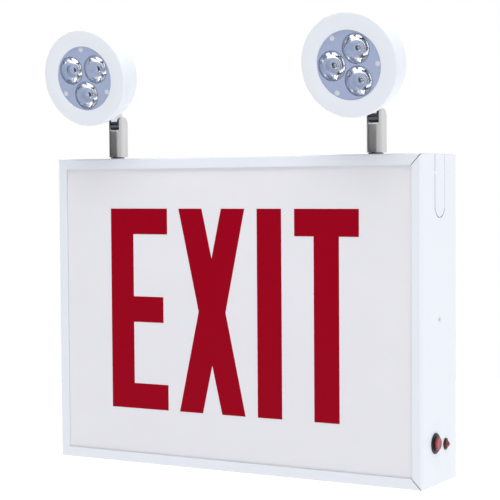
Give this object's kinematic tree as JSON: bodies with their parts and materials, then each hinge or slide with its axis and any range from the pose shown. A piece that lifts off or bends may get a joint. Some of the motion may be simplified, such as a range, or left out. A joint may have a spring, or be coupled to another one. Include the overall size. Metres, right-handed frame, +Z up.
{
  "type": "emergency exit light",
  "caption": "Emergency exit light: folded steel box with a lit translucent face, round lamp heads on top that pan and tilt on folded knuckles, and a test button and indicator on its end.",
  "frame": {"origin": "middle of the back wall's outer face, on the wall plane, at the centre of the wall box's screw pattern", "axes": "+X to the right seen from the front, +Y into the wall, +Z up"},
  "size_m": [0.4154, 0.1243, 0.4401],
  "materials": {
    "aluminium": "plain",
    "battery_wrap": "shrink film",
    "black_plastic": "satin black",
    "circuit_board": "green solder mask",
    "clear_optics": "clear, polished",
    "dark_chrome": "polished dark chrome",
    "face_acrylic": "translucent white, fine matte",
    "led_white": "matte",
    "lens_carrier": "cool grey, smooth",
    "nickel": "satin nickel plate",
    "painted_steel": "smooth white powder coat",
    "plain_steel": "zinc plated",
    "red_button": "gloss red",
    "red_dome": "clear deep red",
    "strip_board": "white solder mask",
    "white_plastic": "smooth satin white"
  },
  "bodies": {
    "housing": {"battery_pack": "battery_wrap", "battery_strap": "plain_steel", "board_posts": "plain_steel", "board_screws": "plain_steel", "bottom_face_rail": "painted_steel", "bottom_light_strip": "strip_board", "capacitors": "aluminium", "charger_board": "circuit_board", "cover_lug": "painted_steel", "cover_screw": "painted_steel", "face_panel": "face_acrylic", "housing_shell": "painted_steel", "indicator_dome": "red_dome", "indicator_holder": "black_plastic", "indicator_nut": "black_plastic", "left_foot_washer": "dark_chrome", "left_spring_washer": "plain_steel", "right_foot_washer": "dark_chrome", "right_spring_washer": "plain_steel", "side_cover": "painted_steel", "strap_screws": "plain_steel", "strip_chips": "led_white", "switch_body": "black_plastic", "switch_ring": "black_plastic", "terminal_block": "black_plastic", "top_face_rail": "painted_steel", "top_light_strip": "strip_board", "transformer": "plain_steel"},
    "button": {"test_button": "red_button"},
    "left_swivel": {"left_stem": "nickel", "left_hollow_bolt": "plain_steel", "left_lock_nut": "plain_steel", "left_pivot_pin": "nickel"},
    "left_head": {"left_head_housing": "white_plastic", "left_neck": "white_plastic", "left_hinge_barrel": "dark_chrome", "left_trim_ring": "white_plastic", "left_lens_plate": "lens_carrier", "left_optics": "clear_optics", "left_led_board": "strip_board", "left_emitters": "led_white", "left_heat_sink": "aluminium", "left_head_screws": "plain_steel"},
    "right_swivel": {"right_stem": "nickel", "right_hollow_bolt": "plain_steel", "right_lock_nut": "plain_steel", "right_pivot_pin": "nickel"},
    "right_head": {"right_head_housing": "white_plastic", "right_neck": "white_plastic", "right_hinge_barrel": "dark_chrome", "right_trim_ring": "white_plastic", "right_lens_plate": "lens_carrier", "right_optics": "clear_optics", "right_led_board": "strip_board", "right_emitters": "led_white", "right_heat_sink": "aluminium", "right_head_screws": "plain_steel"}
  },
  "joints": [
    {"name": "left_pan", "type": "hinge", "parent": "housing", "child": "left_swivel", "pos_m": [-0.1475, -0.057, 0.155], "axis": [0, 0, 1], "range_deg": [-170, 170]},
    {"name": "left_tilt", "type": "hinge", "parent": "left_swivel", "child": "left_head", "pos_m": [-0.1475, -0.057, 0.191], "axis": [1, 0, 0], "range_deg": [-80, 30]},
    {"name": "right_pan", "type": "hinge", "parent": "housing", "child": "right_swivel", "pos_m": [0.1475, -0.057, 0.155], "axis": [0, 0, 1], "range_deg": [-170, 170]},
    {"name": "right_tilt", "type": "hinge", "parent": "right_swivel", "child": "right_head", "pos_m": [0.1475, -0.057, 0.191], "axis": [1, 0, 0], "range_deg": [-80, 30]},
    {"name": "test_press", "type": "slide", "parent": "housing", "child": "button", "axis": [-1, 0, 0], "range_m": [0, 0.002], "stiffness_N_per_m": 900, "springref_m": -0.001}
  ]
}
